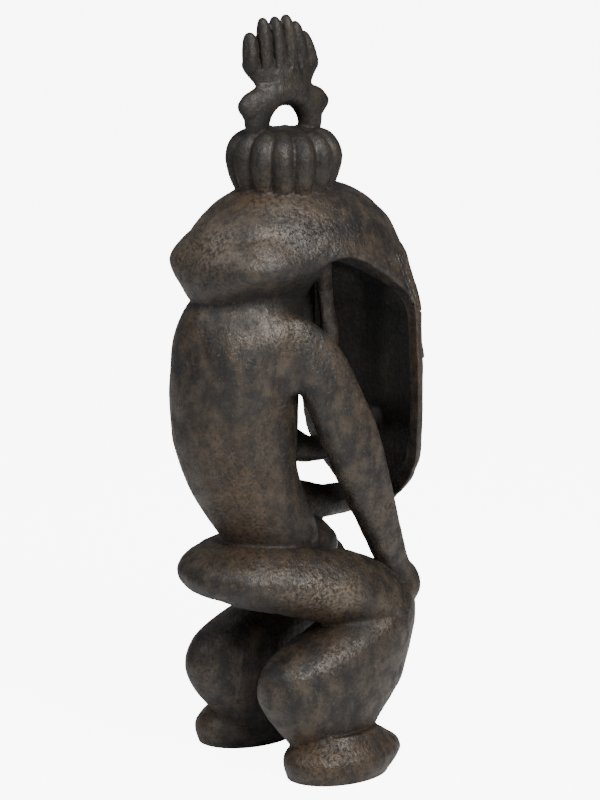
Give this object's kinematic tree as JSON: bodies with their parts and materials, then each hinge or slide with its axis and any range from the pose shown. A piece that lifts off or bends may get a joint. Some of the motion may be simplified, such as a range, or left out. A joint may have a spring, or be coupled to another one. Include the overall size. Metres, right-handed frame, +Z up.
{
  "type": "ancestor figure",
  "caption": "Squatting ancestor figure carved from one piece of dark wood, with a hollow-backed face, hands on the knees and a crest of fingers.",
  "frame": {"origin": "on the ground under the middle of the figure's bounding box", "axes": "+Z up from the soles to the crest, -Y where the figure looks, +X towards the figure's left hand"},
  "size_m": [0.1682, 0.1876, 0.5206],
  "materials": {
    "dark_wood": "dark rubbed patina with ochre in the creases"
  },
  "bodies": {
    "root": {"figure": "dark_wood"}
  },
  "joints": []
}
